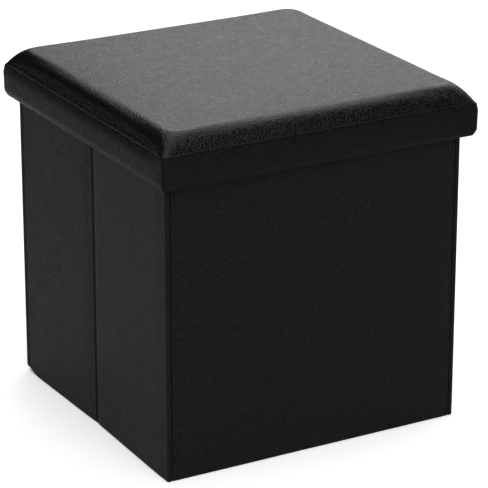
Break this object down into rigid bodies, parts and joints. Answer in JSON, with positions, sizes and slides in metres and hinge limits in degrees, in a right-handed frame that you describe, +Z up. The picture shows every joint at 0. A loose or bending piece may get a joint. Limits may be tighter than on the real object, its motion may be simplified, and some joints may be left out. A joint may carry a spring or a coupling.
{
  "type": "folding storage ottoman",
  "caption": "Black imitation-leather folding cube ottoman with storage: padded lift-off lid, side walls creased to fold inwards, and a hinged base board.",
  "frame": {"origin": "on the floor under the middle of the lid", "axes": "+Z up; -Y is the front wall's outward direction; +X is to the right seen from the front"},
  "size_m": [0.38, 0.38, 0.3845],
  "materials": {
    "seat_leather": "pebble-grained imitation leather, satin",
    "skirt_leather": "pebble-grained imitation leather, satin",
    "wall_leather": "pebble-grained imitation leather, satin",
    "board": "raw fibreboard",
    "stiffener": "dense card",
    "foam": "open-cell foam",
    "lining_fabric": "black non-woven fabric",
    "ribbon": "woven ribbon",
    "staple_wire": "zinc-plated wire"
  },
  "bodies": {
    "back": {"back_board": "board", "back_cover": "wall_leather", "back_lining": "lining_fabric", "back_hem": "wall_leather", "left_rear_corner_strip": "lining_fabric", "right_rear_corner_strip": "lining_fabric", "base_hinge_strip": "lining_fabric"},
    "left_rear": {"left_rear_board": "board", "left_rear_cover": "wall_leather", "left_rear_lining": "lining_fabric", "left_rear_hem": "wall_leather", "left_crease_strip": "wall_leather"},
    "left_front": {"left_front_board": "board", "left_front_cover": "wall_leather", "left_front_lining": "lining_fabric", "left_front_hem": "wall_leather", "left_front_corner_strip": "lining_fabric"},
    "front": {"front_board": "board", "front_cover": "wall_leather", "front_lining": "lining_fabric", "front_hem": "wall_leather"},
    "right_rear": {"right_rear_board": "board", "right_rear_cover": "wall_leather", "right_rear_lining": "lining_fabric", "right_rear_hem": "wall_leather", "right_crease_strip": "wall_leather"},
    "right_front": {"right_front_board": "board", "right_front_cover": "wall_leather", "right_front_lining": "lining_fabric", "right_front_hem": "wall_leather", "right_front_corner_strip": "lining_fabric"},
    "base": {"base_board": "board", "base_lining": "lining_fabric", "base_cover": "lining_fabric", "base_pull_loop": "ribbon"},
    "lid": {"lid_board": "board", "lid_foam_pad": "foam", "lid_top_cover": "seat_leather", "lid_seam_welt": "skirt_leather", "lid_lining": "lining_fabric", "lid_staples": "staple_wire", "lid_skirt_board_front": "stiffener", "lid_skirt_board_back": "stiffener", "lid_skirt_board_left": "stiffener", "lid_skirt_board_right": "stiffener", "lid_skirt_cover_front": "skirt_leather", "lid_skirt_cover_back": "skirt_leather", "lid_skirt_cover_left": "skirt_leather", "lid_skirt_cover_right": "skirt_leather"}
  },
  "joints": [
    {"name": "lid_lift", "type": "slide", "parent": "back", "child": "lid", "axis": [0, 0, 1], "range_m": [0, 0.2]},
    {"name": "base_swing", "type": "hinge", "parent": "back", "child": "base", "pos_m": [0, 0.1657, 0.004], "axis": [-1, 0, 0], "range_deg": [0, 90], "deforming": ["base_hinge_strip"]},
    {"name": "left_rear_fold", "type": "hinge", "parent": "back", "child": "left_rear", "pos_m": [-0.1727, 0.1605, 0.18], "axis": [0, 0, 1], "range_deg": [0, 88.9], "deforming": ["left_rear_corner_strip", "left_rear_hem"]},
    {"name": "left_front_fold", "type": "hinge", "parent": "left_rear", "child": "left_front", "pos_m": [-0.1758, -0.00185, 0.18], "axis": [0, 0, 1], "range_deg": [-177.8, 0], "deforming": ["left_crease_strip", "left_front_hem"]},
    {"name": "front_fold", "type": "hinge", "parent": "left_front", "child": "front", "pos_m": [-0.1727, -0.1642, 0.18], "axis": [0, 0, 1], "range_deg": [0, 88.9], "deforming": ["left_front_corner_strip", "front_hem"]},
    {"name": "right_rear_fold", "type": "hinge", "parent": "back", "child": "right_rear", "pos_m": [0.1727, 0.1605, 0.18], "axis": [0, 0, 1], "range_deg": [-88.9, 0], "deforming": ["right_rear_corner_strip", "right_rear_hem"]},
    {"name": "right_front_fold", "type": "hinge", "parent": "right_rear", "child": "right_front", "pos_m": [0.1758, -0.00185, 0.18], "axis": [0, 0, 1], "range_deg": [0, 177.8], "deforming": ["right_crease_strip", "right_front_corner_strip", "right_front_hem"]}
  ],
  "couplings": [
    {"joint": "left_front_fold", "follows": "left_rear_fold", "ratio": -2},
    {"joint": "front_fold", "follows": "left_rear_fold", "ratio": 1},
    {"joint": "right_rear_fold", "follows": "left_rear_fold", "ratio": -1},
    {"joint": "right_front_fold", "follows": "left_rear_fold", "ratio": 2}
  ]
}
